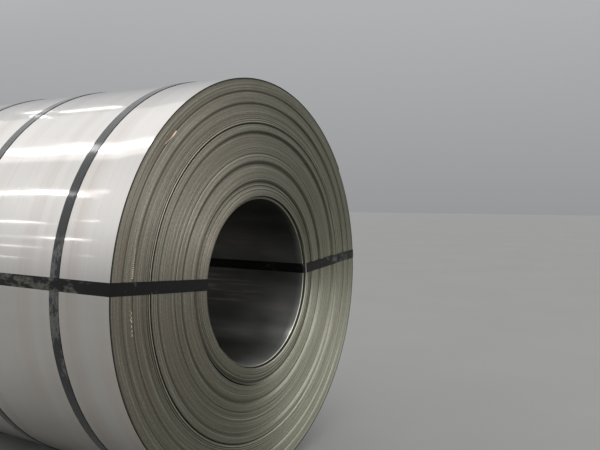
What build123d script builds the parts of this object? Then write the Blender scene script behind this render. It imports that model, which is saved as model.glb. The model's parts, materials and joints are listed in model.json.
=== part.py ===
from build123d import *
import math
import os

# A coil of stainless steel strip lying on its side, tied with three straps round
# its belly and two through its eye. The axis of the bore runs along X, the front
# end faces +X, and angles are counted from +Y over +Z, as seen from the front.

# Driving dimensions of the strip and its winding, in millimetres and degrees
strip_width = 1219.0
strip_thickness = 3.0
bore_radius = 254.0
tail_angle = 36.0
head_angle = 216.0
edge_drop = 2.5
edge_drop_length = 80.0

# How far the strip's edge is set back from the front end: pairs of a turn, counted from
# the bore, and the set back there. It runs straight in between, and two pairs with the
# same turn make a sharp step, such as those of the groove between turns 75 and 77.
front_profile = [
    (0, 12.0), (3, 12.0), (3, 4.0), (9, 4.5), (16, 9.0), (23, 3.5), (35, 8.5), (39, 2.5),
    (46, 5.5), (46, 4.5), (65, 6.5), (70, 1.0), (75, 2.5), (75, 5.5), (77, 5.5), (77, 1.5),
    (95, 6.0), (98, 1.5), (107, 4.5), (110, 1.5), (120, 2.0),
]

# The rear end stands out where the front is set back, but only at these turns
rear_turns = (0, 3, 16, 23, 35, 39, 65, 70, 95, 98, 120)

# Gaps where inner turns have sunk away from the outer ones
slack_depth = 60.0
slack_gaps = [
    {"turn": 20, "angle": -119.0, "half_span": 27.0, "width": 3.5},
    {"turn": 21, "angle": 181.0, "half_span": 3.5, "width": 2.0},
]

# Steel strapping and its seals
strap_width = 31.75
strap_thickness = 0.8
seat_gap = 0.3
lap_length = 150.0
seal_length = 57.0
seal_wall = 1.0
notch_depth = 3.5
notches_per_edge = 2

# Where the straps and seals sit: stations are distances from the front end
belly_stations = {"front": 188.0, "middle": 578.0, "rear": 880.0}
belly_seal_angle = 70.0
eye_angles = {"left": 175.3, "right": 4.0}
eye_seal_stations = {"left": 730.0, "right": 383.0}

# Scraps of interleaf paper in the slit outside one turn: where each starts and how many
# degrees it spans, and how far it stands out of the edge there
paper_thickness = 0.3
paper_hold = 4.0
paper_scraps = {
    "flake": {"turn": 107, "start": 131.5, "size": 6.0, "stand_out": 11.0},
    "edge_upper": {"turn": 98, "start": 165.0, "size": 8.0, "stand_out": 6.0},
    "edge_lower": {"turn": 98, "start": 180.5, "size": 7.0, "stand_out": 5.0},
}

# Sizes worked out from the ones above
turn_count = front_profile[-1][0]
coil_radius = bore_radius + turn_count * strip_thickness
half_width = strip_width / 2
spiral_shift = strip_thickness / 2
lower_radius = coil_radius - spiral_shift
belly_outside = seat_gap + strap_thickness
deepest_edge = max(set_back for turn, set_back in front_profile)
rear_profile = [pair for pair in front_profile if pair[0] in rear_turns]


def polar(radius, angle):
    return Vector(radius * math.cos(math.radians(angle)), radius * math.sin(math.radians(angle)))


def radial_plane(angle, origin=Vector(0, 0, 0)):
    """Plane through a line along the axis: first coordinate outwards, second towards the front."""
    outwards = polar(1, angle)
    return Plane(origin=origin, x_dir=outwards, z_dir=outwards.cross(Vector(0, 0, 1)))


def to_frame(shape):
    """Turns a shape drawn round the Z axis so that its axis lies along X."""
    return Plane.YZ * shape


def polygon_face(points):
    return make_face(Polyline(*points, close=True))


def outside_radius(angle):
    """Distance from the axis to the outermost turn, which is a spiral of two half circles."""
    past_tail = (angle - tail_angle) % 360
    if past_tail <= 180:
        return coil_radius
    along = -spiral_shift * math.cos(math.radians(past_tail))
    across = spiral_shift * math.sin(math.radians(past_tail))
    return along + math.sqrt(lower_radius**2 - across**2)


def end_corners(profile, end, outer_radius):
    """Corners of one end's edge as (radius, along axis), from the bore outwards."""
    corners = [(bore_radius + turn * strip_thickness, end - set_back) for turn, set_back in profile]
    return corners[:-1] + [(outer_radius, corners[-1][1])]


def wall_corners(outer_radius):
    front = end_corners(front_profile, half_width, outer_radius)
    rear = end_corners(rear_profile, -half_width, outer_radius)
    return rear + front[::-1]


def front_edge(turn):
    """Where the strip's front edge lies along the axis, just outside a turn."""
    start = [pair for pair in front_profile if pair[0] <= turn][-1]
    end = [pair for pair in front_profile if pair[0] > turn][0]
    share = (turn - start[0]) / (end[0] - start[0])
    return half_width - start[1] - share * (end[1] - start[1])


def half_barrel(radius, start_angle, axis_point):
    """Half of the wound body, with the drop in diameter that thinner strip edges give."""
    reach = half_width + 2 * deepest_edge
    edge = radius - edge_drop
    straight = half_width - edge_drop_length
    points = [
        (0, -reach), (edge, -reach), (edge, -half_width), (radius, -straight),
        (radius, straight), (edge, half_width), (edge, reach), (0, reach),
    ]
    section = radial_plane(start_angle, axis_point) * polygon_face(points)
    return revolve(section, axis=Axis(axis_point, (0, 0, 1)), revolution_arc=180)


def head_notch():
    """Wedge under the second turn, where it climbs over the inner end of the strip."""
    climb = math.degrees(math.acos(bore_radius / (bore_radius + strip_thickness)))
    corners = [
        polar(bore_radius, head_angle + climb),
        polar(bore_radius + strip_thickness, head_angle),
        polar(bore_radius, head_angle),
    ]
    return extrude(polygon_face(corners), amount=strip_width, both=True)


def slack_gap(turn, angle, half_span, width):
    """Crescent between two circles that cross at both of its tips."""
    radius = bore_radius + turn * strip_thickness
    shift = width / (1 - math.cos(math.radians(half_span)))
    inner_radius = radius + shift * math.cos(math.radians(half_span))
    inner = Pos(*polar(-shift, angle)) * Circle(inner_radius)
    crescent = Pos(0, 0, half_width - slack_depth) * (Circle(radius) - inner)
    return extrude(crescent, amount=2 * slack_depth)


def sector(inner, outer, middle_angle, length, width):
    """Curved bar that follows a circle, centred on one angle and on the plane z = 0."""
    size = math.degrees(length / inner)
    start = middle_angle - size / 2
    edges = [
        CenterArc((0, 0), outer, start, size),
        Line(polar(outer, start + size), polar(inner, start + size)),
        CenterArc((0, 0), inner, start, size),
        Line(polar(inner, start), polar(outer, start)),
    ]
    return extrude(make_face(Curve() + edges), amount=width / 2, both=True)


def scrap_bar(scrap, side_gap, stand_out):
    """The body of a paper scrap, or with a gap round it the slit that holds one."""
    foot = front_edge(scrap["turn"]) - paper_hold
    top = front_edge(scrap["turn"]) + stand_out
    outer = bore_radius + scrap["turn"] * strip_thickness + side_gap
    inner = outer - paper_thickness - 2 * side_gap
    length = math.radians(scrap["size"]) * inner + 2 * side_gap
    middle = scrap["start"] + scrap["size"] / 2
    bar = sector(inner, outer, middle, length, top - foot)
    return Pos(0, 0, (foot + top) / 2) * bar


def make_coil():
    shifted_axis = polar(spiral_shift, tail_angle + 180)
    body = half_barrel(coil_radius, tail_angle, Vector(0, 0, 0))
    body += half_barrel(lower_radius, tail_angle + 180, shifted_axis)
    wall = radial_plane(0) * polygon_face(wall_corners(coil_radius + strip_thickness))
    coil = (body & revolve(wall, axis=Axis.Z)) - head_notch()
    for gap in slack_gaps:
        coil -= slack_gap(**gap)
    for scrap in paper_scraps.values():
        coil -= scrap_bar(scrap, seat_gap, 2 * paper_hold)
    return to_frame(coil)


def paper_scrap(scrap):
    """Thin curved scrap that stands on the floor of its slit."""
    return to_frame(scrap_bar(scrap, 0.0, scrap["stand_out"]))


def taut_face(clearance):
    """Outline of a strap pulled tight round the belly, straight from the tail's edge down."""
    lift = math.degrees(math.acos(lower_radius / (coil_radius + spiral_shift)))
    tip = polar(coil_radius, tail_angle)
    shifted_axis = polar(spiral_shift, tail_angle + 180)
    leaving = tail_angle - lift
    edges = [
        CenterArc((0, 0), coil_radius + clearance, tail_angle, 180),
        CenterArc(shifted_axis, lower_radius + clearance, tail_angle + 180, 180 - lift),
        Line(shifted_axis + polar(lower_radius + clearance, leaving), tip + polar(clearance, leaving)),
        CenterArc(tip, clearance, leaving, lift),
    ]
    return make_face(Curve() + edges)


def belly_strap(station):
    band = extrude(taut_face(belly_outside) - taut_face(seat_gap), amount=strap_width / 2, both=True)
    top = coil_radius + belly_outside
    lap = sector(top, top + strap_thickness, belly_seal_angle, lap_length, strap_width)
    return to_frame(Pos(0, 0, half_width - station) * (band + lap))


def edge_notch(point, outwards):
    """V-shaped cut of a notched seal: a square bar on edge, pushed through from above."""
    square = RegularPolygon(notch_depth, 4)
    return Plane(point, z_dir=outwards) * extrude(square, amount=4 * seal_wall, both=True)


def notch_offsets():
    step = seal_length / (notches_per_edge + 1)
    return [(number + 1) * step - seal_length / 2 for number in range(notches_per_edge)]


def belly_seal(station):
    bottom = coil_radius + seat_gap
    inside = bottom + 2 * strap_thickness + seat_gap
    top = inside + seal_wall
    opening = strap_width + 2 * seat_gap
    seal = sector(bottom, top, belly_seal_angle, seal_length, opening + 2 * seal_wall)
    seal -= sector(bottom - seal_wall, inside, belly_seal_angle, 2 * seal_length, opening)
    for side in (-1, 1):
        for along in notch_offsets():
            angle = belly_seal_angle + math.degrees(along / top)
            edge = Vector(0, 0, side * (opening / 2 + seal_wall))
            seal -= edge_notch(polar(top, angle) + edge, polar(1, angle))
    return to_frame(Pos(0, 0, half_width - station) * seal)


def turns_right(first, second, third):
    along = (second[0] - first[0]) * (third[1] - first[1])
    across = (second[1] - first[1]) * (third[0] - first[0])
    return along - across <= 0


def taut_corners(angle):
    """Convex hull of the coil's section and the belly straps on it, as (radius, along axis)."""
    outer = outside_radius(angle)
    corners = wall_corners(outer - edge_drop)
    for side in (-1, 1):
        corners.append((outer, side * (half_width - edge_drop_length)))
        for station in belly_stations.values():
            corners.append((outer + belly_outside, half_width - station + side * strap_width / 2))
    corners = sorted(set(corners))
    hull = []
    for run in (corners, corners[::-1]):
        chain = []
        for point in run:
            while len(chain) > 1 and turns_right(chain[-2], chain[-1], point):
                chain.pop()
            chain.append(point)
        hull += chain[:-1]
    return hull


def swept_band(section, angle, width):
    """Section in a radial plane, carried a little way round the axis and cut to one width."""
    reach = 2 * math.degrees(width / bore_radius)
    start = angle - reach / 2
    band = revolve(radial_plane(start) * section, axis=Axis.Z, revolution_arc=reach)
    slab = radial_plane(angle, polar(coil_radius, angle)) * Box(2 * coil_radius, 2 * strip_width, width)
    return band & slab


def bar_section(inner, outer, station, length):
    return Pos((inner + outer) / 2, half_width - station) * Rectangle(outer - inner, length)


def eye_strap(angle, seal_station):
    loop = polygon_face(taut_corners(angle))
    outside = offset(loop, amount=seat_gap + strap_thickness, kind=Kind.INTERSECTION)
    inside = offset(loop, amount=seat_gap, kind=Kind.INTERSECTION)
    top = outside_radius(angle) + 2 * belly_outside
    lap = bar_section(top, top + strap_thickness, seal_station, lap_length)
    return to_frame(swept_band(outside - inside + lap, angle, strap_width))


def eye_seal(angle, seal_station):
    bottom = outside_radius(angle) + belly_outside + seat_gap
    inside = bottom + 2 * strap_thickness + seat_gap
    top = inside + seal_wall
    opening = strap_width + 2 * seat_gap
    seal = swept_band(bar_section(bottom, top, seal_station, seal_length), angle, opening + 2 * seal_wall)
    seal -= swept_band(bar_section(bottom - seal_wall, inside, seal_station, 2 * seal_length), angle, opening)
    sideways = polar(1, angle + 90)
    for side in (-1, 1):
        for along in notch_offsets():
            edge = polar(top, angle) + sideways * (side * (opening / 2 + seal_wall))
            seal -= edge_notch(edge + Vector(0, 0, half_width - seal_station + along), polar(1, angle))
    return to_frame(seal)


os.makedirs("parts", exist_ok=True)
export_step(make_coil(), "parts/coil.step")
for name, station in belly_stations.items():
    export_step(belly_strap(station), f"parts/belly_strap_{name}.step")
    export_step(belly_seal(station), f"parts/belly_seal_{name}.step")
for name, angle in eye_angles.items():
    export_step(eye_strap(angle, eye_seal_stations[name]), f"parts/eye_strap_{name}.step")
    export_step(eye_seal(angle, eye_seal_stations[name]), f"parts/eye_seal_{name}.step")
for name, scrap in paper_scraps.items():
    export_step(paper_scrap(scrap), f"parts/paper_{name}.step")
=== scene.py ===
import json
import math
import random

import bmesh
import bpy
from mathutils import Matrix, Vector

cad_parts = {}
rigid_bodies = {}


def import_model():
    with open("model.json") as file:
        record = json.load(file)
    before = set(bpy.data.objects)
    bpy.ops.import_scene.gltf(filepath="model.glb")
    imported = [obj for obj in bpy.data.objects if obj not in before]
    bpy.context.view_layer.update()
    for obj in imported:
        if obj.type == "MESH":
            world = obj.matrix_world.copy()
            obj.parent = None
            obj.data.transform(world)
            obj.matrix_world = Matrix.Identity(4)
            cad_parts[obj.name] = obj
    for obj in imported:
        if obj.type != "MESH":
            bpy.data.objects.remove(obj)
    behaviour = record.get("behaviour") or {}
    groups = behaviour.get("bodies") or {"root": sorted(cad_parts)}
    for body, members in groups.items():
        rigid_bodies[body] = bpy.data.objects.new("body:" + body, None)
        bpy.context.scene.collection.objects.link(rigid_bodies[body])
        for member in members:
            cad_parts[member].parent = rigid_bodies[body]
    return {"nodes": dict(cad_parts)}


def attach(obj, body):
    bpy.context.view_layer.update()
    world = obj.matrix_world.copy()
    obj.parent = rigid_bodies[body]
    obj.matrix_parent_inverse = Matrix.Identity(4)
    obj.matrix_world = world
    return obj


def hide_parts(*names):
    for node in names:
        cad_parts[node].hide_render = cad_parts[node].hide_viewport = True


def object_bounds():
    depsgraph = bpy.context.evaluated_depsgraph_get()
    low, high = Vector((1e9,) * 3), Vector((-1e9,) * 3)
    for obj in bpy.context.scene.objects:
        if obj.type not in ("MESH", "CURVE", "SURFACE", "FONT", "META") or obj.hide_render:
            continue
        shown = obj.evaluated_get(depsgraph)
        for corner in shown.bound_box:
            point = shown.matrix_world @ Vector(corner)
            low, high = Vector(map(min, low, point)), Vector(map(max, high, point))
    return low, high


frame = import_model()
cadBox = [list(corner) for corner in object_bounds()]
scene = bpy.context.scene
print("coil: frame loaded")

# The whole winding, in metres and turns. Turns are counted from the tail inwards, and
# angles in degrees from +Y over +Z, as seen from the front.
winding = {
    "turnCount": 120,
    "boreRadius": 0.254,
    "pitch": 0.003,
    "endPitch": 0.0029792,  # thinner strip edges pack closer
    "stripGap": 0.00006,
    "stripWidth": 1.219,
    "tailAngle": 36.0,
    "headTurns": 119.5,
    "dropStart": 0.5,  # share of a turn after which it steps down by one pitch
    "dropEnds": (1.0, 0.5244),  # share by which the outermost and the innermost turn are down
    "settleStart": 0.93,  # share of a turn after which its edge moves over to the next one's
    "edgeWander": 0.0012,
    "wanderStep": 0.83,  # how far the wander's pattern moves on with each turn
    "edgeTilt": 0.9,  # share of each step between turns that their worn edges slope over
    "steepest": 2.0,  # mm per turn that an edge slopes at most
    "ripple": 0.3,  # mm that single turns stand proud or back
    "crestWearAndShade": 0.16,  # how much lighter crests are, partly worn and partly painted highlight, and darker hollows are, as painted shade, per mm of bend
    "mostBend": 3.0,  # mm of bend past which the wear and the painted light and shade stay the same
    "waveSteps": (5.0, 5.0, 2.5),  # per metre: waves of 200 mm round the coil and 400 mm along it
    "seed": 7.0,
}
perMm = 0.001  # metres in a millimetre

# How far single turns, counted from the bore, are set back from the front in mm. Turns in
# between follow a straight line, so each band falls away outwards and then rises to a crest.
edgeProfile = [
    (1, 12.0), (3, 12.0), (4, 3.4), (9, 4.6), (10, 5.8), (11, 4.8), (14, 8.7), (15, 7.6), (18, 9.3),
    (20, 4.6), (21, 3.8), (23, 3.2), (35, 8.3), (36, 8.3), (39, 2.6), (40, 2.4), (45, 4.6), (46, 6.2),
    (47, 4.6), (52, 5.9), (53, 4.9), (56, 5.9), (57, 5.0), (65, 6.6), (66, 6.6), (69, 1.0), (70, 0.9),
    (75, 2.6), (76, 7.4), (77, 3.2), (78, 1.4), (79, 3.4), (80, 2.6), (81, 4.4), (82, 3.2), (85, 4.3),
    (86, 3.4), (94, 5.8), (95, 6.2), (97, 2.1), (98, 1.4), (106, 4.4), (107, 4.7), (109, 1.5), (110, 1.3),
    (120, 1.8),
]
# Turns whose edge is darker (below 0) or lighter than the rest. Much of it is painted light: the darkest
# turns are painted shade in the recess by the bore and along the outer rim, and the lighter turns by the bore
# and beside the deep groove are partly painted highlight
edgeTones = {
    1: 0.6, 2: 0.8, 3: -2.0, 4: 0.6, 10: -0.4, 14: -0.6, 75: -0.4, 76: -0.8, 77: 0.6, 78: 0.4, 79: -0.3,
    80: -0.2, 119: -0.7, 120: -2.0,
}
# Turns by the bore whose edge is rolled over towards it, in mm per turn
edgeLips = {1: -1.6, 2: -1.6, 4: -1.6}
# Turns beside a crease that torn paper and damp have browned, and how much
edgeRust = {95: 0.4, 96: 0.8, 97: 0.7, 98: 0.5, 107: 0.4, 108: 1.0, 109: 0.8, 110: 0.4}

# Places where inner turns have sunk away: the outermost turn that sank, counted from the
# bore, the middle and half span of the gap in degrees, and how wide it opens
slackGaps = [
    {"turn": 20, "angle": -127.0, "halfSpan": 36.0, "width": 0.0042},
    {"turn": 21, "angle": 181.0, "halfSpan": 3.5, "width": 0.0018},
]


def linearColour(code):
    channels = [int(code[i:i + 2], 16) / 255 for i in (1, 3, 5)]
    return (*[c / 12.92 if c <= 0.04045 else ((c + 0.055) / 1.055) ** 2.4 for c in channels], 1.0)


def feed(tree, node, links):
    # links a socket to each input, turns a hex colour to linear, or sets the value as it is
    for place, value in links.items():
        if isinstance(value, bpy.types.NodeSocket):
            tree.links.new(value, node.inputs[place])
        elif isinstance(value, str) and value.startswith("#"):
            node.inputs[place].default_value = linearColour(value)
        else:
            node.inputs[place].default_value = value


def addNode(tree, kind, links=None, give=None, **settings):
    # gives back the output of the name given, or else the first one that the settings leave in use;
    # the kinds that shader trees share or own go without their prefix
    prefix = "" if kind.startswith(("GeometryNode", "NodeGroup")) else "ShaderNode"
    node = tree.nodes.new(prefix + kind)
    for name, value in settings.items():
        setattr(node, name, value)
    feed(tree, node, links or {})
    return node.outputs[give] if give else [output for output in node.outputs if output.enabled][0]


def linkObject(thing):
    scene.collection.objects.link(thing)
    return thing


def startMaterial(name):
    material = bpy.data.materials.new(name)
    material.use_nodes = True
    tree = material.node_tree
    place = addNode(tree, "TexCoord", give="Object")
    return material, tree, tree.nodes["Principled BSDF"], place


def brushRound(tree, surface, amount):
    # the fine lines of rolling run along the strip, so what it mirrors is drawn out across them
    tangent = addNode(tree, "Tangent", direction_type="RADIAL", axis="X")
    feed(tree, surface, {"Anisotropic": amount, "Anisotropic Rotation": 0.25, "Tangent": tangent})


def makeStripSkin():
    # cold-rolled 2B stainless: near-white, with faint roll lines, soft waves and marks of oil
    look = {
        "light": "#e1ddd9", "dull": "#cac6c1", "oilMark": "#c9bfb8", "roughLow": 0.08, "roughHigh": 0.1,
        "brushed": 0.55, "smudgeScale": 3.2,  # smudges of 300 mm
        # steps per metre across the strip and per turn along it, detail and roughness
        "patterns": {
            "rollLines": ((90.0, 2.0, 1.0), 4.0, 0.7),  # 11 mm apart, coarser than real ones to show
            "waves": ((2.2, 26.0, 1.0), 1.0, 0.5),  # 450 mm long and 150 mm apart
            "bands": ((11.0, 1.5, 1.0), 3.0, 0.5),  # 90 mm wide
        },
        "rollDepth": 0.00005, "waveDepth": 0.0018,
    }
    material, tree, surface, place = startMaterial("coldRolledStainless")
    axial = addNode(tree, "SeparateXYZ", {0: place}, "X")
    turn = addNode(tree, "Attribute", give="Fac", attribute_name="turn")
    sheet = addNode(tree, "CombineXYZ", {"X": axial, "Y": turn})
    drawn = {}
    for name, (steps, detail, roughness) in look["patterns"].items():
        where = addNode(tree, "VectorMath", {0: sheet, 1: steps}, operation="MULTIPLY")
        drawn[name] = addNode(tree, "TexNoise", {
            "Vector": where, "Scale": 1.0, "Detail": detail, "Roughness": roughness})
    rollLines = drawn["rollLines"]
    smudge = addNode(tree, "TexNoise", {"Vector": place, "Scale": look["smudgeScale"], "Detail": 3.0})
    tint = addNode(tree, "Mix", {0: smudge, 6: look["dull"], 7: look["light"]}, data_type="RGBA")
    banded = addNode(tree, "MapRange", {"Value": drawn["bands"], "From Min": 0.48, "From Max": 0.78})
    tint = addNode(tree, "Mix", {0: banded, 6: tint, 7: look["oilMark"]}, data_type="RGBA")
    rollTint = addNode(tree, "MapRange", {
        "Value": rollLines, "From Min": 0.3, "From Max": 0.7, "To Min": 0.97, "To Max": 1.01})
    colour = addNode(tree, "VectorMath", {0: tint, "Scale": rollTint}, operation="SCALE")
    gloss = addNode(tree, "MapRange", {
        "Value": rollLines, "From Min": 0.35, "From Max": 0.65,
        "To Min": look["roughLow"], "To Max": look["roughHigh"]})
    fine = addNode(tree, "Bump", {
        "Height": rollLines, "Strength": 0.1, "Distance": look["rollDepth"]})
    bump = addNode(tree, "Bump", {
        "Height": drawn["waves"], "Strength": 0.5, "Distance": look["waveDepth"], "Normal": fine})
    feed(tree, surface, {"Base Color": colour, "Roughness": gloss, "Metallic": 1.0, "Normal": bump})
    brushRound(tree, surface, look["brushed"])
    return material


def makeStripEdges():
    # slit edges of the strip: dull, olive grey, each turn a shade of its own, painted shade in the hollows
    look = {
        # groove is the colour of the painted shade on deep and darkest turns
        "dark": "#535247", "mid": "#8d8a7f", "light": "#d1cec4", "groove": "#24231e", "stain": "#7f5f41",
        "olive": "#fcfff6", "warm": "#fffbf8", "metallic": 0.9, "brushed": 0.85,
        # the upper-left direction, and where along it the painted shade begins and is full
        "upperLeft": (0.0, -0.7071, 0.7071), "shadeStarts": -0.85, "shadeFull": -0.5,
        "paperSide": (0.0, -0.9063, 0.4226),
        "shadeSteps": (0.0, 1.6, 1.6),  # per metre: shades of 600 mm along each turn
        "grainScale": 230.0,  # grains of 4 mm, coarser than real burrs to show
        "patchScale": 3.4,  # patches of 300 mm
        "patchDrift": 0.12,  # how far the patches move on with each turn
        # set back at which deep turns start and end darkening with painted shade
        "grooveFrom": 7.5, "grooveFull": 9.5,  # mm of set back
        "burrDepth": 0.0005,
    }
    material, tree, surface, place = startMaterial("slitStripEdges")
    turn, tone, depth, steep, rust = [addNode(tree, "Attribute", give="Fac", attribute_name=name)
                                      for name in ("turn", "tone", "setBack", "slope", "rust")]
    where = addNode(tree, "VectorMath", {0: place, 1: look["shadeSteps"]}, operation="MULTIPLY")
    perTurn = addNode(tree, "TexNoise", {
        "Vector": where, "W": turn, "Scale": 1.0, "Detail": 2.0, "Roughness": 0.65}, noise_dimensions="4D")
    grain = addNode(tree, "TexNoise", {
        "Vector": place, "Scale": look["grainScale"], "Detail": 4.0, "Roughness": 0.75})
    shade = addNode(tree, "MapRange", {
        "Value": perTurn, "From Min": 0.25, "From Max": 0.75, "To Min": 0.14, "To Max": 0.66})
    # each turn's tone, much of it painted highlight and painted shade, lifts or lowers its shade
    lift = addNode(tree, "Math", {0: tone, 1: 0.35, 2: shade}, operation="MULTIPLY_ADD")
    lift = addNode(tree, "Math", {0: grain, 1: 0.6, 2: lift}, operation="MULTIPLY_ADD")
    # painted shade under the steps that rise outwards, and a little over all of the upper left, except at the
    # lower right
    radial = addNode(tree, "VectorMath", {0: place, 1: (0.0, 1.0, 1.0)}, operation="MULTIPLY")
    radial = addNode(tree, "VectorMath", {0: radial}, operation="NORMALIZE")
    upperLeft, paperSide = [
        addNode(tree, "VectorMath", {0: radial, 1: look[name]}, operation="DOT_PRODUCT")
        for name in ("upperLeft", "paperSide")]
    dirtAndShade = addNode(tree, "MapRange", {
        "Value": upperLeft, "From Min": look["shadeStarts"], "From Max": look["shadeFull"]})
    risingShade = addNode(tree, "MapRange", {
        "Value": steep, "From Min": -0.4, "From Max": -1.8, "To Max": 0.35})
    risingShade = addNode(tree, "Math", {0: risingShade, 1: dirtAndShade}, operation="MULTIPLY")
    lift = addNode(tree, "Math", {0: lift, 1: risingShade}, operation="SUBTRACT")
    # painted shade: the whole upper left a little darker
    lift = addNode(tree, "Math", {0: dirtAndShade, 1: -0.14, 2: lift}, operation="MULTIPLY_ADD")
    lift = addNode(tree, "Math", {0: lift, 1: 0.1}, operation="SUBTRACT")
    # the film of oil drifts from olive to a warmer grey, mostly at the left
    drift = addNode(tree, "Math", {0: turn, 1: look["patchDrift"]}, operation="MULTIPLY")
    patches = addNode(tree, "TexNoise", {
        "Vector": place, "W": drift, "Scale": look["patchScale"], "Detail": 2.0}, noise_dimensions="4D")
    warm = addNode(tree, "Math", {0: paperSide, 1: 0.5, 2: patches}, operation="MULTIPLY_ADD")
    warm = addNode(tree, "MapRange", {"Value": warm, "From Min": 0.55, "From Max": 1.0})
    film = addNode(tree, "Mix", {0: warm, 6: look["olive"], 7: look["warm"]}, data_type="RGBA")
    shades = addNode(tree, "ValToRGB", {"Fac": lift})
    stops = shades.node.color_ramp.elements
    stops.new(0.5)
    for stop, name in zip(stops, ("dark", "mid", "light")):
        stop.color = linearColour(look[name])
    # painted shade: deep turns are darkened unless they are lighter turns, which are partly rubbed and partly
    # painted highlight, and the darkest turns are painted near black as shade
    sunkShade = addNode(tree, "MapRange", {
        "Value": depth, "From Min": look["grooveFrom"], "From Max": look["grooveFull"], "To Max": 0.7})
    unrubbedUnlit = addNode(tree, "MapRange", {
        "Value": tone, "From Min": 0.4, "From Max": 0.6, "To Min": 1.0, "To Max": 0.0})
    sunkShade = addNode(tree, "Math", {0: sunkShade, 1: unrubbedUnlit}, operation="MULTIPLY")
    blackShade = addNode(tree, "MapRange", {"Value": tone, "From Min": -0.9, "From Max": -1.5})
    sunkShade = addNode(tree, "Math", {0: sunkShade, 1: blackShade}, operation="MAXIMUM")
    filmed = addNode(tree, "VectorMath", {0: shades, 1: film}, operation="MULTIPLY")
    inGroove = addNode(tree, "Mix", {0: sunkShade, 6: filmed, 7: look["groove"]}, data_type="RGBA")
    # brown tints: broad faint patches, and stronger ones in the creases that hold paper
    stained = addNode(tree, "MapRange", {
        "Value": patches, "From Min": 0.56, "From Max": 0.72, "To Max": 0.25})
    browned = addNode(tree, "MapRange", {
        "Value": paperSide, "From Min": 0.8, "From Max": 0.96, "To Max": 0.6})
    browned = addNode(tree, "Math", {0: browned, 1: perTurn}, operation="MULTIPLY")
    stained = addNode(tree, "Math", {0: browned, 1: rust, 2: stained}, operation="MULTIPLY_ADD")
    colour = addNode(tree, "Mix", {0: stained, 6: inGroove, 7: look["stain"]}, data_type="RGBA")
    gloss = addNode(tree, "MapRange", {"Value": perTurn, "To Min": 0.3, "To Max": 0.48})
    bump = addNode(tree, "Bump", {"Height": grain, "Strength": 0.5, "Distance": look["burrDepth"]})
    feed(tree, surface, {
        "Base Color": colour, "Roughness": gloss, "Metallic": look["metallic"], "Normal": bump})
    brushRound(tree, surface, look["brushed"])
    return material


def makeFlank():
    # flat sides of inner turns, seen down in the grooves: oily and dirty, and evenly dull by the bore
    look = {
        "oily": "#403f38", "bare": "#7e7b6f", "dull": "#5a5852", "dullFrom": 112.0, "dullFull": 115.0,
        "smearScale": 22.0,  # smears of 45 mm
        "smearDepth": 0.0003, "metallic": 0.85,
        # how far from a gap's sides the painted black shade ends and is full, and over which share of its
        # span
        "black": "#080807", "blackEnds": 0.0012, "blackFull": 0.0004, "blackSpan": 0.85,
    }
    material, tree, surface, place = startMaterial("oiledFlank")
    smears = addNode(tree, "TexNoise", {"Vector": place, "Scale": look["smearScale"], "Detail": 4.0})
    share = addNode(tree, "MapRange", {"Value": smears, "From Min": 0.45, "From Max": 0.75})
    dirtAndShade = addNode(tree, "Mix", {0: share, 6: look["oily"], 7: look["bare"]}, data_type="RGBA")
    turn = addNode(tree, "Attribute", give="Fac", attribute_name="turn")
    inner = addNode(tree, "MapRange", {
        "Value": turn, "From Min": look["dullFrom"], "From Max": look["dullFull"]})
    colour = addNode(tree, "Mix", {0: inner, 6: dirtAndShade, 7: look["dull"]}, data_type="RGBA")
    # painted shade: the sides of the gaps between sunken turns are painted near black, as the shade deep in
    # each gap
    radial = addNode(tree, "VectorMath", {0: place, 1: (0.0, 1.0, 1.0)}, operation="MULTIPLY")
    radius = addNode(tree, "VectorMath", {0: radial}, operation="LENGTH")
    outwards = addNode(tree, "VectorMath", {0: radial}, operation="NORMALIZE")
    for gap in slackGaps:
        middle = math.radians(gap["angle"])
        span = math.radians(gap["halfSpan"])
        halfGap = (gap["width"] + winding["pitch"]) / 2
        centre = winding["boreRadius"] + gap["turn"] * winding["pitch"] - halfGap
        towards = addNode(tree, "VectorMath", {
            0: outwards, 1: (0.0, math.cos(middle), math.sin(middle))}, operation="DOT_PRODUCT")
        within = addNode(tree, "MapRange", {
            "Value": towards, "From Min": math.cos(span), "From Max": math.cos(look["blackSpan"] * span)})
        off = addNode(tree, "Math", {0: radius, 1: centre}, operation="SUBTRACT")
        off = addNode(tree, "Math", {0: off}, operation="ABSOLUTE")
        beside = addNode(tree, "MapRange", {
            "Value": off, "From Min": halfGap + look["blackEnds"], "From Max": halfGap + look["blackFull"]})
        black = addNode(tree, "Math", {0: within, 1: beside}, operation="MULTIPLY")
        colour = addNode(tree, "Mix", {0: black, 6: colour, 7: look["black"]}, data_type="RGBA")
    gloss = addNode(tree, "MapRange", {"Value": smears, "To Min": 0.5, "To Max": 0.3})
    bump = addNode(tree, "Bump", {"Height": smears, "Strength": 0.2, "Distance": look["smearDepth"]})
    feed(tree, surface, {
        "Base Color": colour, "Roughness": gloss, "Metallic": look["metallic"], "Normal": bump})
    return material


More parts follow.
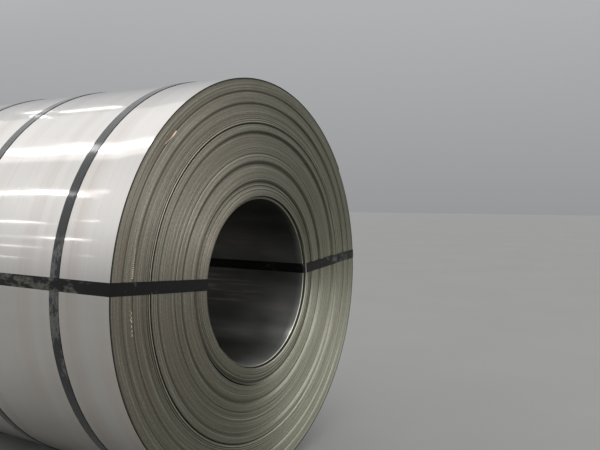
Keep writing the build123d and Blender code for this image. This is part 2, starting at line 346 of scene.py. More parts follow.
def makeBoreWrap():
    # innermost wrap: oily, dark, rubbed along the axis by the mandrel
    look = {
        "base": "#8b8a86", "smear": "#5f605e", "rubbed": "#c9b3a4", "brushed": 0.75,
        "scrapedAt": (0.25, 0.245, -0.07), "scrapedShare": (4.5, 8.0, 13.0),
        # steps per metre: scratches 250 mm long and 9 mm apart, coarser than real ones to show,
        # and patches of 400 by 140 mm
        "patterns": {"scratches": (4.0, 110.0, 110.0), "patches": (2.5, 7.0, 7.0)},
        "scratchDepth": 0.0002,
        "dustFrom": 0.47, "dustFull": 0.61, "dustDepth": -0.18, "clean": 0.95, "dusty": 0.45,
    }
    material, tree, surface, place = startMaterial("oiledInnerWrap")
    drawn = []
    for steps in look["patterns"].values():
        where = addNode(tree, "VectorMath", {0: place, 1: steps}, operation="MULTIPLY")
        drawn.append(addNode(tree, "TexNoise", {"Vector": where, "Scale": 1.0, "Detail": 3.0}))
    scratches, patch = drawn
    clear = addNode(tree, "MapRange", {"Value": patch, "From Min": 0.3, "From Max": 0.7})
    smear = addNode(tree, "Mix", {0: clear, 6: look["smear"], 7: look["base"]}, data_type="RGBA")
    lines = addNode(tree, "MapRange", {
        "Value": scratches, "From Min": 0.5, "From Max": 0.7, "To Max": 0.8})
    rubbed = addNode(tree, "MapRange", {
        "Value": patch, "From Min": 0.5, "From Max": 0.62, "To Max": 0.35})
    away = addNode(tree, "VectorMath", {0: place, 1: look["scrapedAt"]}, operation="SUBTRACT")
    away = addNode(tree, "VectorMath", {0: away, 1: look["scrapedShare"]}, operation="MULTIPLY")
    away = addNode(tree, "VectorMath", {0: away}, operation="LENGTH")
    scraped = addNode(tree, "MapRange", {
        "Value": away, "From Min": 0.4, "From Max": 1.0, "To Min": 1.0, "To Max": 0.0})
    rubbed = addNode(tree, "Math", {0: rubbed, 1: scraped}, operation="MAXIMUM")
    rubbed = addNode(tree, "Math", {0: rubbed, 1: lines}, operation="MULTIPLY")
    colour = addNode(tree, "Mix", {0: rubbed, 6: smear, 7: look["rubbed"]}, data_type="RGBA")
    gloss = addNode(tree, "MapRange", {"Value": clear, "To Min": 0.3, "To Max": 0.42})
    # a film of dust has settled low in the eye, near its front
    spot = addNode(tree, "SeparateXYZ", {0: place}).node.outputs
    near = addNode(tree, "MapRange", {
        "Value": spot["X"], "From Min": look["dustFrom"], "From Max": look["dustFull"]},
        interpolation_type="SMOOTHSTEP")
    low = addNode(tree, "MapRange", {
        "Value": spot["Z"], "From Min": 0.0, "From Max": look["dustDepth"]}, interpolation_type="SMOOTHSTEP")
    dusty = addNode(tree, "Math", {0: near, 1: low}, operation="MULTIPLY")
    bare = addNode(tree, "MapRange", {
        "Value": dusty, "To Min": look["clean"], "To Max": look["dusty"]})
    bump = addNode(tree, "Bump", {
        "Height": scratches, "Strength": 0.25, "Distance": look["scratchDepth"]})
    feed(tree, surface, {"Base Color": colour, "Roughness": gloss, "Metallic": bare, "Normal": bump})
    brushRound(tree, surface, look["brushed"])
    return material


strapping = {
    "wideScale": 26.0, "fineScale": 160.0,  # scuffs of 38 mm and 6 mm, drawn out along the strap
    "scuffDepth": 0.0004,
    "rubCore": 0.23, "rubLift": 0.16,  # share of a rubbed place that is fully rubbed, and how much
    "scuffFade": 0.12, "scuffGloss": 0.18, "coatRoughness": 0.11,
    "facing": 0.97,  # how squarely a facet has to face outwards to be shaded as round
}


def makeStrapping(name, look):
    # black-lacquered steel strapping: glossy, scuffed to grey along its length where straps cross
    material, tree, surface, place = startMaterial(name)
    drawn = addNode(tree, "VectorMath", {0: place, 1: look["stretch"]}, operation="MULTIPLY")
    wide = addNode(tree, "TexNoise", {
        "Vector": drawn, "Scale": strapping["wideScale"], "Detail": 5.0, "Roughness": 0.65})
    fine = addNode(tree, "TexNoise", {
        "Vector": drawn, "Scale": strapping["fineScale"], "Detail": 3.0})
    both = addNode(tree, "Math", {0: fine, 1: 0.35, 2: wide}, operation="MULTIPLY_ADD")
    height = both
    for rubbedAt, reach in look["rubbed"]:
        away = addNode(tree, "VectorMath", {0: place, 1: rubbedAt}, operation="DISTANCE")
        rubbed = addNode(tree, "MapRange", {
            "Value": away, "From Min": strapping["rubCore"] * reach, "From Max": reach,
            "To Min": strapping["rubLift"], "To Max": 0.0}, interpolation_type="SMOOTHSTEP")
        height = addNode(tree, "Math", {0: height, 1: rubbed}, operation="ADD")
    worn = addNode(tree, "MapRange", {
        "Value": height, "From Min": look["scuffFrom"],
        "From Max": look["scuffFrom"] + strapping["scuffFade"], "To Max": 0.85})
    colour = addNode(tree, "Mix", {0: worn, 6: look["base"], 7: look["scuff"]}, data_type="RGBA")
    gloss = addNode(tree, "MapRange", {
        "Value": both, "From Min": 0.5, "From Max": 0.85,
        "To Min": look["gloss"], "To Max": look["gloss"] + strapping["scuffGloss"]})
    relief = {"Height": both, "Strength": 0.3, "Distance": strapping["scuffDepth"]}
    if look["round"]:
        # lights glide along a round strap instead of jumping from facet to facet
        facet = addNode(tree, "NewGeometry", give="Normal")
        radial = addNode(tree, "VectorMath", {0: place, 1: (0.0, 1.0, 1.0)}, operation="MULTIPLY")
        radial = addNode(tree, "VectorMath", {0: radial}, operation="NORMALIZE")
        facing = addNode(tree, "VectorMath", {0: facet, 1: radial}, operation="DOT_PRODUCT")
        outer = addNode(tree, "Math", {0: facing, 1: strapping["facing"]}, operation="GREATER_THAN")
        eased = addNode(tree, "Mix", {0: outer, 4: facet, 5: radial}, data_type="VECTOR")
        relief["Normal"] = eased
        feed(tree, surface, {"Coat Normal": eased})
    feed(tree, surface, {
        "Base Color": colour, "Roughness": gloss, "Specular IOR Level": look["specular"],
        "Coat Weight": look["lacquer"], "Coat Roughness": strapping["coatRoughness"],
        "Normal": addNode(tree, "Bump", relief)})
    return material


def makePaper():
    # torn kraft interleaf: fibrous brown, browner where oil has soaked in, pale along the tear
    look = {
        "light": "#b39166", "dark": "#7d5b38", "tear": "#efe2cd", "roughness": 0.85,
        "fibreScale": 420.0,  # fibres of 2 mm, coarser than real ones to show
        "fibreDepth": 0.0003,
        "oilScale": 90.0,  # spots of 11 mm
    }
    material, tree, surface, place = startMaterial("kraftInterleaf")
    torn = addNode(tree, "Attribute", give="Fac", attribute_name="torn")
    fibres = addNode(tree, "TexNoise", {"Vector": place, "Scale": look["fibreScale"], "Detail": 4.0})
    oil = addNode(tree, "TexNoise", {"Vector": place, "Scale": look["oilScale"], "Detail": 2.0})
    mixed = addNode(tree, "Math", {0: fibres, 1: 0.4, 2: oil}, operation="MULTIPLY_ADD")
    share = addNode(tree, "MapRange", {"Value": mixed, "From Min": 0.5, "From Max": 0.9})
    body = addNode(tree, "Mix", {0: share, 6: look["light"], 7: look["dark"]}, data_type="RGBA")
    ragged = addNode(tree, "Math", {0: fibres, 1: 0.4, 2: torn}, operation="MULTIPLY_ADD")
    pale = addNode(tree, "MapRange", {"Value": ragged, "From Min": 0.96, "From Max": 1.08})
    colour = addNode(tree, "Mix", {0: pale, 6: body, 7: look["tear"]}, data_type="RGBA")
    bump = addNode(tree, "Bump", {"Height": fibres, "Strength": 0.5, "Distance": look["fibreDepth"]})
    feed(tree, surface, {"Base Color": colour, "Roughness": look["roughness"], "Normal": bump})
    return material


def makeFloor():
    # pale sealed concrete, only the ground the coil stands on
    look = {"dark": "#8e8e8b", "light": "#989895", "roughness": 0.55, "cloudScale": 1.3}  # clouds of 770 mm
    material, tree, surface, place = startMaterial("paleFloor")
    cloud = addNode(tree, "TexNoise", {"Vector": place, "Scale": look["cloudScale"], "Detail": 4.0})
    colour = addNode(tree, "Mix", {0: cloud, 6: look["dark"], 7: look["light"]}, data_type="RGBA")
    feed(tree, surface, {"Base Color": colour, "Roughness": look["roughness"]})
    return material


stripSkin = makeStripSkin()
stripEdges = makeStripEdges()
flank = makeFlank()
boreWrap = makeBoreWrap()
strapCrossing = (0.36, -0.614, 0.05)
# "stretch" below 1 draws the scuffs out that way, and "rubbed" holds places and their reach
bellyStrapping = makeStrapping("bellyStrapping", {
    "base": "#0b0d10", "scuff": "#5b5d59", "scuffFrom": 0.77, "gloss": 0.2, "specular": 0.1, "lacquer": 0.75,
    "stretch": (1.0, 0.5, 0.5), "rubbed": [(strapCrossing, 0.26)], "round": True,
})
eyeStrapping = makeStrapping("eyeStrapping", {
    "base": "#0a0a09", "scuff": "#5c5c54", "scuffFrom": 0.8, "gloss": 0.34, "specular": 0.2, "lacquer": 0.05,
    "stretch": (0.45, 1.0, 1.0), "rubbed": [(strapCrossing, 0.26), ((0.61, 0.5, 0.04), 0.16)], "round": False,
})
sealSteel = makeStrapping("sealSteel", {
    "base": "#232322", "scuff": "#6e6d66", "scuffFrom": 0.7, "gloss": 0.3, "specular": 0.3, "lacquer": 0.3,
    "stretch": (1.0, 1.0, 1.0), "rubbed": [(strapCrossing, 0.26)], "round": False,
})
paper = makePaper()
print("coil: materials made")

tableColumns = ("setBack", "slope", "tone", "rust")


def held(value, most):
    return min(max(value, -most), most)


def makeTurnTable():
    # one point per turn, from the outermost inwards, that carries a value for each column
    last = winding["turnCount"]
    setBacks = []
    chance = random.Random(winding["seed"])
    for turn in range(last + 1):
        below = [point for point in edgeProfile if point[0] <= max(turn, 1)][-1]
        above = [point for point in edgeProfile if point[0] >= max(turn, 1)][0]
        share = (turn - below[0]) / max(above[0] - below[0], 1)
        ripple = chance.uniform(-winding["ripple"], winding["ripple"])
        setBacks.append(below[1] + (above[1] - below[1]) * share + ripple)
    rows = []
    for turn in range(last, -1, -1):
        steps = [setBacks[turn] - setBacks[max(turn - 1, 0)], setBacks[min(turn + 1, last)] - setBacks[turn]]
        steps = [held(step, winding["steepest"]) for step in steps]
        bend = held(steps[1] - steps[0], winding["mostBend"])
        # tone adds lighter crests and darker hollows, painted highlight and painted shade, to the listed
        # tones
        tone = edgeTones.get(turn, 0.0) + winding["crestWearAndShade"] * bend
        rows.append((setBacks[turn], edgeLips.get(turn, sum(steps) / 2), tone, edgeRust.get(turn, 0.0)))
    mesh = bpy.data.meshes.new("turnTable")
    mesh.from_pydata([(0, 0, 0)] * len(rows), [], [])
    for column, name in enumerate(tableColumns):
        values = mesh.attributes.new(name, "FLOAT", "POINT")
        values.data.foreach_set("value", [row[column] for row in rows])
    return linkObject(bpy.data.objects.new("turnTable", mesh))


def drawProfile(name, points):
    curve = bpy.data.curves.new(name, "CURVE")
    curve.dimensions = "3D"
    spline = curve.splines.new("POLY")
    spline.points.add(len(points) - 1)
    for point, (across, along) in zip(spline.points, points):
        point.co = (across, -along, 0.0, 1.0)  # the sweep lays a profile's Y along -Z
    spline.use_cyclic_u = True
    return linkObject(bpy.data.objects.new(name, curve))


def startTree(name, inputs):
    # a Geometry Nodes tree with its named inputs, which are listed by their kind
    tree = bpy.data.node_groups.new(name, "GeometryNodeTree")
    for kind, labels in {"Geometry": ["Geometry"], **inputs}.items():
        for label in labels:
            tree.interface.new_socket(name=label, in_out="INPUT", socket_type="NodeSocket" + kind)
    tree.interface.new_socket(name="Geometry", in_out="OUTPUT", socket_type="NodeSocketGeometry")
    return tree, addNode(tree, "NodeGroupInput").node.outputs


def addSlackPush(tree, given, angle, radius, left, gap):
    # how far the turns under one gap are pushed towards the bore
    away = addNode(tree, "Math", {0: angle, 1: math.radians(gap["angle"])}, operation="SUBTRACT")
    closeness = addNode(tree, "Math", {0: away}, operation="COSINE")
    push = addNode(tree, "MapRange", {
        "Value": closeness, "From Min": math.cos(math.radians(gap["halfSpan"])), "From Max": 1.0,
        "To Max": gap["width"]})
    rim = addNode(tree, "Math", {
        0: given["Pitch"], 1: float(gap["turn"]), 2: given["Bore Radius"]}, operation="MULTIPLY_ADD")
    share = addNode(tree, "MapRange", {
        "Value": radius, "From Min": given["Bore Radius"], "From Max": rim})
    under = addNode(tree, "Math", {0: left, 1: gap["turn"] + 0.5}, operation="LESS_THAN")
    share = addNode(tree, "Math", {0: share, 1: under}, operation="MULTIPLY")
    return addNode(tree, "Math", {0: push, 1: share}, operation="MULTIPLY")


def makeWindingTree():
    tree, given = startTree("windStrip", {
        "Float": ["First Turn", "Last Turn", "Turn Count", "Bore Radius", "Pitch", "Thickness", "Tail Angle",
                  "End Station", "Settle Start", "Edge Wander", "Edge Tilt", "Seed", "Waviness"],
        "Int": ["Stations Per Turn"], "Object": ["Profile", "Turn Table"],
        "Material": ["Edge Material", "Side Material"],
    })

    # stations along the strip, each with its turn counted from the tail
    span = addNode(tree, "Math", {0: given["Last Turn"], 1: given["First Turn"]}, operation="SUBTRACT")
    count = addNode(tree, "Math", {
        0: span, 1: given["Stations Per Turn"], 2: 1.0}, operation="MULTIPLY_ADD")
    line = addNode(tree, "GeometryNodeMeshLine", {"Count": count, "Offset": (0.0, 0.0, 0.0)})
    index = addNode(tree, "GeometryNodeInputIndex")
    step = addNode(tree, "Math", {0: index, 1: given["Stations Per Turn"]}, operation="DIVIDE")
    turn = addNode(tree, "Math", {0: step, 1: given["First Turn"]}, operation="ADD")
    whole = addNode(tree, "Math", {0: turn}, operation="FLOOR")
    part = addNode(tree, "Math", {0: turn}, operation="FRACT")

    # outer radius of the turn: it steps down where the strip climbs over its own end
    lastTurn = addNode(tree, "Math", {0: given["Turn Count"], 1: 1.0}, operation="SUBTRACT")
    dropEnd = addNode(tree, "MapRange", {
        "Value": whole, "From Max": lastTurn,
        "To Min": winding["dropEnds"][0], "To Max": winding["dropEnds"][1]})
    drop = addNode(tree, "MapRange", {
        "Value": part, "From Min": winding["dropStart"], "From Max": dropEnd, "To Max": given["Pitch"]},
        interpolation_type="SMOOTHSTEP")
    left = addNode(tree, "Math", {0: given["Turn Count"], 1: whole}, operation="SUBTRACT")
    rim = addNode(tree, "Math", {
        0: left, 1: given["Pitch"], 2: given["Bore Radius"]}, operation="MULTIPLY_ADD")
    rim = addNode(tree, "Math", {0: rim, 1: drop}, operation="SUBTRACT")
    middle = addNode(tree, "Math", {0: given["Thickness"], 1: -0.5, 2: rim}, operation="MULTIPLY_ADD")

    tail = addNode(tree, "Math", {0: given["Tail Angle"]}, operation="RADIANS")
    angle = addNode(tree, "Math", {0: turn, 1: math.tau, 2: tail}, operation="MULTIPLY_ADD")
    radius = middle
    for gap in slackGaps:
        push = addSlackPush(tree, given, angle, middle, left, gap)
        radius = addNode(tree, "Math", {0: radius, 1: push}, operation="SUBTRACT")
    cosine = addNode(tree, "Math", {0: angle}, operation="COSINE")
    sine = addNode(tree, "Math", {0: angle}, operation="SINE")

    # the table's values hold over a turn and move over to the next turn's near its end
    table = addNode(tree, "GeometryNodeObjectInfo", {"Object": given["Turn Table"]}, "Geometry")
    nextWhole = addNode(tree, "Math", {0: whole, 1: 1.0}, operation="ADD")
    settle = addNode(tree, "MapRange", {
        "Value": part, "From Min": given["Settle Start"]}, interpolation_type="SMOOTHSTEP")
    looked = {}
    for name in tableColumns:
        column = addNode(tree, "GeometryNodeInputNamedAttribute", {"Name": name})
        pair = [addNode(tree, "GeometryNodeSampleIndex", {"Geometry": table, "Value": column, "Index": row})
                for row in (whole, nextWhole)]
        looked[name] = addNode(tree, "Mix", {0: settle, 2: pair[0], 3: pair[1]})

    # the edge wanders a little from turn to turn and along each turn
    ring = addNode(tree, "CombineXYZ", {"X": cosine, "Y": sine, "Z": given["Seed"]})
    drift = addNode(tree, "Math", {0: turn, 1: winding["wanderStep"]}, operation="MULTIPLY")
    wander = addNode(tree, "TexNoise", {
        "Vector": ring, "W": drift, "Scale": 1.5, "Detail": 3.0, "Roughness": 0.6}, noise_dimensions="4D")
    wander = addNode(tree, "Math", {0: wander, 1: 0.5}, operation="SUBTRACT")
    station = addNode(tree, "Math", {
        0: wander, 1: given["Edge Wander"], 2: given["End Station"]}, operation="MULTIPLY_ADD")
    station = addNode(tree, "Math", {
        0: looked["setBack"], 1: -perMm, 2: station}, operation="MULTIPLY_ADD")
    across, upward = [addNode(tree, "Math", {0: radius, 1: swing}, operation="MULTIPLY")
                      for swing in (cosine, sine)]
    position = addNode(tree, "CombineXYZ", {"X": across, "Y": upward, "Z": station})

    for name, value in (("turn", turn), ("middle", radius), *looked.items()):
        line = addNode(tree, "GeometryNodeStoreNamedAttribute", {
            "Geometry": line, "Name": name, "Value": value})
    line = addNode(tree, "GeometryNodeSetPosition", {"Geometry": line, "Position": position})
    path = addNode(tree, "GeometryNodeMeshToCurve", {"Mesh": line})
    path = addNode(tree, "GeometryNodeSetCurveNormal", {"Curve": path}, mode="Z_UP")
    outline = addNode(tree, "GeometryNodeObjectInfo", {"Object": given["Profile"]}, "Geometry")
    strip = addNode(tree, "GeometryNodeCurveToMesh", {
        "Curve": path, "Profile Curve": outline, "Fill Caps": True})

    # the strip's end is sheared to follow the slope from turn to turn
    where = addNode(tree, "GeometryNodeInputPosition")
    reach = addNode(tree, "VectorMath", {0: where, 1: (1.0, 1.0, 0.0)}, operation="MULTIPLY")
    reach = addNode(tree, "VectorMath", {0: reach}, operation="LENGTH")
    centre = addNode(tree, "GeometryNodeInputNamedAttribute", {"Name": "middle"})
    side = addNode(tree, "Math", {0: reach, 1: centre}, operation="SUBTRACT")
    side = addNode(tree, "Math", {0: side, 1: given["Pitch"]}, operation="DIVIDE")
    steep = addNode(tree, "GeometryNodeInputNamedAttribute", {"Name": "slope"})
    shear = side
    for factor in (steep, given["Edge Tilt"], -perMm):
        shear = addNode(tree, "Math", {0: shear, 1: factor}, operation="MULTIPLY")
    shift = addNode(tree, "CombineXYZ", {"Z": shear})
    strip = addNode(tree, "GeometryNodeSetPosition", {"Geometry": strip, "Offset": shift})

    # loose outer wraps are wavy: the skin sinks a little, never rises
    waving = addNode(tree, "VectorMath", {0: where, 1: winding["waveSteps"]}, operation="MULTIPLY")
    wave = addNode(tree, "TexNoise", {"Vector": waving, "Scale": 1.0, "Detail": 1.0})
    sink = addNode(tree, "Math", {0: wave, 1: given["Waviness"]}, operation="MULTIPLY")
    inward = addNode(tree, "VectorMath", {0: where, 1: (-1.0, -1.0, 0.0)}, operation="MULTIPLY")
    inward = addNode(tree, "VectorMath", {0: inward}, operation="NORMALIZE")
    offset = addNode(tree, "VectorMath", {0: inward, "Scale": sink}, operation="SCALE")
    strip = addNode(tree, "GeometryNodeSetPosition", {"Geometry": strip, "Offset": offset})

    # drawn round Z, then laid down so that the axis runs along X
    laid = addNode(tree, "GeometryNodeTransform", {
        "Geometry": strip, "Rotation": (math.pi / 2, 0.0, math.pi / 2)})
    real = addNode(tree, "GeometryNodeRealizeInstances", {"Geometry": laid})
    edged = addNode(tree, "GeometryNodeSetMaterial", {"Geometry": real, "Material": given["Edge Material"]})
    normal = addNode(tree, "GeometryNodeInputNormal")
    facing = addNode(tree, "SeparateXYZ", {0: normal}, "X")
    facing = addNode(tree, "Math", {0: facing}, operation="ABSOLUTE")
    isSide = addNode(tree, "Math", {0: facing, 1: 0.5}, operation="LESS_THAN")
    painted = addNode(tree, "GeometryNodeSetMaterial", {
        "Geometry": edged, "Selection": isSide, "Material": given["Side Material"]})
    feed(tree, tree.nodes.new("NodeGroupOutput"), {"Geometry": painted})
    return tree


def runTree(name, tree, values):
    # runs a Geometry Nodes tree once and keeps its result as a plain mesh
    sharpAngle = 35.0  # degrees between faces past which the edge stays sharp
    holder = linkObject(bpy.data.objects.new(name + "Holder", bpy.data.meshes.new(name + "Holder")))
    modifier = holder.modifiers.new("build", "NODES")
    modifier.node_group = tree
    for item in tree.interface.items_tree:
        if item.in_out == "INPUT" and item.name in values:
            modifier[item.identifier] = values[item.name]
    evaluated = holder.evaluated_get(bpy.context.evaluated_depsgraph_get())
    mesh = bpy.data.meshes.new_from_object(evaluated)
    mesh.name = name
    bpy.data.objects.remove(holder)
    piece = linkObject(bpy.data.objects.new(name, mesh))
    shell = bmesh.new()
    shell.from_mesh(mesh)
    bmesh.ops.recalc_face_normals(shell, faces=shell.faces)
    shell.to_mesh(mesh)
    shell.free()
    mesh.shade_smooth()
    mesh.set_sharp_from_angle(angle=math.radians(sharpAngle))
    return piece


edgeLook = {"depth": 0.018, "burr": 0.0004, "chamfer": 0.00045, "frontStations": 120, "rearStations": 84}
skinLook = {"stations": 288, "axialStep": 0.025, "dropLength": 0.08, "edgeDrop": 0.0025, "waviness": 0.0005}

thickness = winding["endPitch"] - winding["stripGap"]
halfThick = thickness / 2
halfWidth = winding["stripWidth"] / 2
windingTree = makeWindingTree()
turnTable = makeTurnTable()

edgeOutline = [
    (-halfThick, -edgeLook["depth"]), (halfThick, -edgeLook["depth"]), (halfThick, -edgeLook["chamfer"]),
    (halfThick - edgeLook["burr"], 0.0), (edgeLook["burr"] - halfThick, 0.0),
    (-halfThick, -edgeLook["chamfer"]),
]
frontProfile = drawProfile("frontEdgeProfile", edgeOutline)
rearProfile = drawProfile("rearEdgeProfile", [(-across, -along) for across, along in edgeOutline])


def fullProfile(name, crowned):
    # section of one whole turn across the strip's width, counted from its front end
    width = winding["stripWidth"]
    steps = round(width / skinLook["axialStep"])
    burr = edgeLook["burr"]
    stations = [burr + (width - 2 * burr) * step / steps for step in range(steps + 1)]
    outside, inside = [], []
    for station in stations:
        share = min(min(station, width - station) / skinLook["dropLength"], 1.0)
        fall = skinLook["edgeDrop"] * (1 - math.sin(share * math.pi / 2)) if crowned else 0.0
        outside.append((halfThick - fall, -station))
        inside.append((-halfThick - fall, -station))
    front = [(inside[0][0] + burr, 0.0), (outside[0][0] - burr, 0.0)]
    rear = [(outside[-1][0] - burr, -width), (inside[-1][0] + burr, -width)]
    return drawProfile(name, front + outside + rear + inside[::-1])


common = {
    "Turn Count": float(winding["turnCount"]), "Bore Radius": winding["boreRadius"], "Thickness": thickness,
    "Tail Angle": winding["tailAngle"], "Settle Start": winding["settleStart"],
    "Edge Wander": winding["edgeWander"], "Edge Tilt": winding["edgeTilt"], "Seed": winding["seed"],
    "Turn Table": turnTable, "Edge Material": stripEdges, "End Station": halfWidth, "Waviness": 0.0,
}
headStart = winding["headTurns"] - 1
betweenTurns = {
    "First Turn": 1.0, "Last Turn": headStart, "Pitch": winding["endPitch"], "Side Material": flank,
}
wholeTurn = {"Stations Per Turn": skinLook["stations"], "Pitch": winding["pitch"]}
coilPieces = {
    "frontEdges": {
        **betweenTurns, "Stations Per Turn": edgeLook["frontStations"], "Profile": frontProfile,
    },
    "rearEdges": {
        **betweenTurns, "Stations Per Turn": edgeLook["rearStations"], "Profile": rearProfile,
        "End Station": -halfWidth,
    },
    "outerTurn": {
        **wholeTurn, "First Turn": 0.0, "Last Turn": 1.0, "Profile": fullProfile("outerProfile", True),
        "Waviness": skinLook["waviness"], "Side Material": stripSkin,
    },
    "innerTurn": {
        **wholeTurn, "First Turn": headStart, "Last Turn": winding["headTurns"],
        "Profile": fullProfile("innerProfile", False), "Side Material": boreWrap,
    },
}
for name, values in coilPieces.items():
    piece = runTree(name, windingTree, {**common, **values})
    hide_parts("coil")
    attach(piece, "root")
    print("coil:", piece.name, len(piece.data.polygons), "faces")
for helper in list(scene.objects):
    if helper.name == "turnTable" or helper.name.endswith("Profile"):
        bpy.data.objects.remove(helper)

finishes = {
    "belly_strap": bellyStrapping, "eye_strap": eyeStrapping, "belly_seal": sealSteel, "eye_seal": sealSteel,
}
for name, node in frame["nodes"].items():
    for start, finish in finishes.items():
        if name.startswith(start):
            for materialSlot in node.material_slots:
                materialSlot.material = finish
print("coil: straps and seals finished")


def makePaperTree():
    # one scrap of torn paper that stands up out of a slit between two turns
    tree, given = startTree("tearPaper", {
        "Float": ["Radius", "Start Angle", "Span", "Foot", "Height", "Lean", "Teeth", "Tooth Depth",
                  "Crumple", "Bleach", "Sheet Thickness", "Seed"],
        "Material": ["Material"],
    })
    sheet = addNode(tree, "GeometryNodeMeshGrid", {
        "Size X": 1.0, "Size Y": 1.0, "Vertices X": 91, "Vertices Y": 7})
    corner = addNode(tree, "GeometryNodeInputPosition")
    corner = addNode(tree, "VectorMath", {0: corner, 1: (0.5, 0.5, 0.0)}, operation="ADD")
    corner = addNode(tree, "SeparateXYZ", {0: corner}).node.outputs
    along, up = corner["X"], corner["Y"]

    # the tear: teeth of uneven height that get lower towards the far end
    tooth = addNode(tree, "Math", {0: along, 1: given["Teeth"]}, operation="MULTIPLY")
    swing = addNode(tree, "Math", {0: tooth, 1: math.pi}, operation="MULTIPLY")
    swing = addNode(tree, "Math", {0: swing}, operation="SINE")
    swing = addNode(tree, "Math", {0: swing}, operation="ABSOLUTE")
    swing = addNode(tree, "MapRange", {"Value": swing, "From Min": 0.55, "From Max": 0.8})
    seedPlace = addNode(tree, "CombineXYZ", {"X": given["Seed"]})
    uneven = addNode(tree, "TexNoise", {
        "W": tooth, "Vector": seedPlace, "Scale": 0.9, "Detail": 2.0}, noise_dimensions="4D")
    uneven = addNode(tree, "MapRange", {
        "Value": uneven, "From Min": 0.3, "From Max": 0.6, "To Min": 0.6})
    tear = addNode(tree, "Math", {0: swing, 1: uneven}, operation="MULTIPLY")
    tear = addNode(tree, "Mix", {0: given["Tooth Depth"], 2: 1.0, 3: tear})
    lower = addNode(tree, "Math", {0: along, 1: given["Lean"]}, operation="MULTIPLY")
    lower = addNode(tree, "Math", {0: 1.0, 1: lower}, operation="SUBTRACT")
    reach = addNode(tree, "Math", {0: tear, 1: lower}, operation="MULTIPLY")
    reach = addNode(tree, "Math", {0: reach, 1: given["Height"]}, operation="MULTIPLY")
    station = addNode(tree, "Math", {0: reach, 1: up, 2: given["Foot"]}, operation="MULTIPLY_ADD")
    tornness = addNode(tree, "Math", {0: up, 1: given["Bleach"]}, operation="ADD")

    # the free part is crumpled, the part in the slit isn't
    spot = addNode(tree, "CombineXYZ", {"X": tooth, "Y": up, "Z": given["Seed"]})
    crease = addNode(tree, "TexNoise", {"Vector": spot, "Scale": 1.7, "Detail": 2.0})
    crease = addNode(tree, "Math", {0: crease, 1: 0.5}, operation="SUBTRACT")
    free = addNode(tree, "MapRange", {"Value": up, "From Min": 0.25})
    crease = addNode(tree, "Math", {0: crease, 1: free}, operation="MULTIPLY")
    radius = addNode(tree, "Math", {
        0: crease, 1: given["Crumple"], 2: given["Radius"]}, operation="MULTIPLY_ADD")
    angle = addNode(tree, "Math", {
        0: along, 1: given["Span"], 2: given["Start Angle"]}, operation="MULTIPLY_ADD")
    angle = addNode(tree, "Math", {0: angle}, operation="RADIANS")
    swings = [addNode(tree, "Math", {0: angle}, operation=way) for way in ("COSINE", "SINE")]
    across, upward = [addNode(tree, "Math", {0: radius, 1: way}, operation="MULTIPLY") for way in swings]
    position = addNode(tree, "CombineXYZ", {"X": station, "Y": across, "Z": upward})
    sheet = addNode(tree, "GeometryNodeStoreNamedAttribute", {
        "Geometry": sheet, "Name": "torn", "Value": tornness})
    sheet = addNode(tree, "GeometryNodeSetPosition", {"Geometry": sheet, "Position": position})
    back = addNode(tree, "GeometryNodeFlipFaces", {"Mesh": sheet})
    front = addNode(tree, "GeometryNodeExtrudeMesh", {
        "Mesh": sheet, "Offset Scale": given["Sheet Thickness"], "Individual": False})
    both = addNode(tree, "GeometryNodeJoinGeometry")
    for face in (front, back):
        tree.links.new(face, both.node.inputs[0])
    closed = addNode(tree, "GeometryNodeMergeByDistance", {"Geometry": both, "Distance": 0.000001})
    real = addNode(tree, "GeometryNodeRealizeInstances", {"Geometry": closed})
    painted = addNode(tree, "GeometryNodeSetMaterial", {"Geometry": real, "Material": given["Material"]})
    feed(tree, tree.nodes.new("NodeGroupOutput"), {"Geometry": painted})
    return tree


paperTree = makePaperTree()
paperSheet = {"Sheet Thickness": 0.0004, "Material": paper}
paperScraps = {
    "paperFlake": {
        "node": "paper_flake", "Radius": 0.5757, "Start Angle": 132.3, "Span": 5.2, "Foot": 0.6015,
        "Height": 0.0155, "Lean": 0.3, "Teeth": 1.0, "Tooth Depth": 0.15, "Crumple": 0.007, "Bleach": 0.12,
        "Seed": 4.0,
    },
    "paperEdgeUpper": {
        "node": "paper_edge_upper", "Radius": 0.5461, "Start Angle": 172.9, "Span": -7.9, "Foot": 0.6045,
        "Height": 0.0095, "Lean": 0.45, "Teeth": 15.0, "Tooth Depth": 1.0, "Crumple": 0.002, "Bleach": 0.35,
        "Seed": 2.0,
    },
    "paperEdgeLower": {
        "node": "paper_edge_lower", "Radius": 0.5461, "Start Angle": 180.6, "Span": 6.8, "Foot": 0.6045,
        "Height": 0.0095, "Lean": 0.45, "Teeth": 6.0, "Tooth Depth": 0.6, "Crumple": 0.01, "Bleach": 0.1,
        "Seed": 9.0,
    },
}
for name, values in paperScraps.items():
    piece = runTree(name, paperTree, {**values, **paperSheet})
    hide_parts(values["node"])
    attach(piece, "root")
print("coil: torn paper stood in its slits")

ground = {"size": 60.0, "squares": 40, "height": cadBox[0][2]}
bpy.ops.mesh.primitive_grid_add(x_subdivisions=ground["squares"], y_subdivisions=ground["squares"],
                                size=ground["size"], location=(0.0, 0.0, ground["height"]))
floor = bpy.context.object
floor.name = "floor"
floor.data.materials.append(makeFloor())

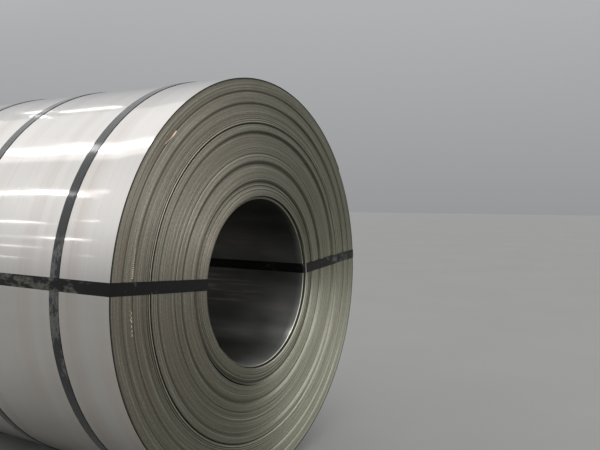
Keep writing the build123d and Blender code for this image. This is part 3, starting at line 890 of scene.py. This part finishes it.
lightRig = {
    "horizonColour": "#8f9092", "skyColour": "#b9bbbd", "horizonAt": -0.1, "skyAt": 0.4,
    # soft bright sides of the studio: where each is, where it begins and is full, and its glow
    "softSides": [((0.75, -0.08, 0.65), 0.3, 0.95, 0.8), ((-0.82, -0.54, 0.2), 0.78, 0.99, 0.14),
                  ((-0.45, -0.2, 0.87), 0.4, 0.95, 0.5)],
    "stripHeight": 2.6,
    # distance across the axis and width of each strip light, its glow, and its middle and length
    "strips": [(1.0, 0.1, 2.5, -2.55, 0.7), (1.25, 0.1, 2.5, -3.4, 0.35), (0.85, 0.1, 2.5, -3.95, 0.5),
               (0.1, 1.3, 0.2, -2.8, 7.0), (-0.75, 0.2, 2.2, -2.1, 2.0), (-0.8, 0.6, 0.35, -2.6, 6.0),
               (-2.34, 0.07, 5.0, -4.9, 3.2), (-2.3, 0.18, 0.45, -2.9, 0.9), (-4.12, 0.06, 4.0, -6.6, 2.6),
               (-3.92, 0.05, 2.0, -4.05, 0.5), (-6.0, 0.04, 1.6, -7.6, 3.4), (-5.93, 0.07, 4.5, -6.75, 0.9),
               (-7.8, 0.08, 3.5, -11.5, 3.4), (-12.5, 0.25, 3.0, -18.5, 3.6), (-9.4, 0.1, 1.5, -9.65, 1.1)],
    # short lamps that glint in the belly straps, just under the strips, which would hide them
    "glintHeight": 2.59,
    "glints": [(-0.73, 0.24, 9.0, -2.09, 0.12), (-2.36, 0.12, 20.0, -3.2, 0.17),
               (-6.0, 0.06, 11.0, -6.88, 0.26), (0.83, 0.12, 16.0, -3.07, 0.04)],
    "borePlace": (0.82, -0.75, 2.75), "boreAim": (0.58, 0.1, -0.17), "boreSize": (3.2, 0.46),
    "boreGlow": 17.0,
    "keyPlace": (2.6, -2.8, 3.0), "keyAim": (0.6, 0.0, 0.0), "keySize": (1.6, 1.6), "keyGlow": 2.1,
}
world = bpy.data.worlds.new("studio")
scene.world = world
world.use_nodes = True
skyTree = world.node_tree
direction = addNode(skyTree, "TexCoord", give="Generated")
rise = addNode(skyTree, "SeparateXYZ", {0: direction}, "Z")
height = addNode(skyTree, "MapRange", {
    "Value": rise, "From Min": lightRig["horizonAt"], "From Max": lightRig["skyAt"]})
sky = addNode(skyTree, "Mix", {
    0: height, 6: lightRig["horizonColour"], 7: lightRig["skyColour"]}, data_type="RGBA")
for side, begins, full, glow in lightRig["softSides"]:
    towards = addNode(skyTree, "VectorMath", {0: direction, 1: side}, operation="DOT_PRODUCT")
    soft = addNode(skyTree, "MapRange", {
        "Value": towards, "From Min": begins, "From Max": full, "To Max": glow},
        interpolation_type="SMOOTHSTEP")
    sky = addNode(skyTree, "VectorMath", {0: soft, 1: sky}, operation="ADD")
feed(skyTree, skyTree.nodes["Background"], {"Color": sky, "Strength": 1.0})


def addSoftbox(name, place, aim, size, glow, floorToo=True):
    light = bpy.data.lights.new(name, "AREA")
    light.shape = "RECTANGLE"
    light.size, light.size_y = size
    light.energy = glow * math.pi * size[0] * size[1]
    lamp = linkObject(bpy.data.objects.new(name, light))
    lamp.location = place
    lamp.rotation_euler = (Vector(aim) - Vector(place)).to_track_quat("-Z", "Y").to_euler()
    lamp.visible_camera = False
    lamp.visible_diffuse = floorToo  # most lamps show in the steel only, so the floor stays even
    return lamp


for kind in ("strip", "glint"):
    for number, (across, width, glow, middle, length) in enumerate(lightRig[kind + "s"]):
        overhead = (middle, across, lightRig[kind + "Height"])
        under = (middle, across, 0.0)
        addSoftbox(f"{kind}Light{number}", overhead, under, (length, width), glow, floorToo=False)
boreLight = addSoftbox("boreLight", lightRig["borePlace"], lightRig["boreAim"], lightRig["boreSize"],
                       lightRig["boreGlow"], floorToo=False)
boreLit = bpy.data.collections.new("boreLit")
boreLit.objects.link(scene.objects["innerTurn"])
boreLight.light_linking.receiver_collection = boreLit
addSoftbox("keyPanel", lightRig["keyPlace"], lightRig["keyAim"], lightRig["keySize"], lightRig["keyGlow"])

cameraFit = {
    "place": (1.7448, -1.652, 0.2632), "aim": (-0.51898, 0.85363, -0.04437), "lens": 39.6, "sensor": 36.0,
}
camera = bpy.data.cameras.new("photoCamera")
camera.lens = cameraFit["lens"]
camera.sensor_width = cameraFit["sensor"]
photoCamera = linkObject(bpy.data.objects.new("photoCamera", camera))
photoCamera.location = cameraFit["place"]
photoCamera.rotation_euler = Vector(cameraFit["aim"]).to_track_quat("-Z", "Y").to_euler()
scene.camera = photoCamera
scene.view_settings.view_transform = "Standard"
print("coil: floor, lights and camera set")
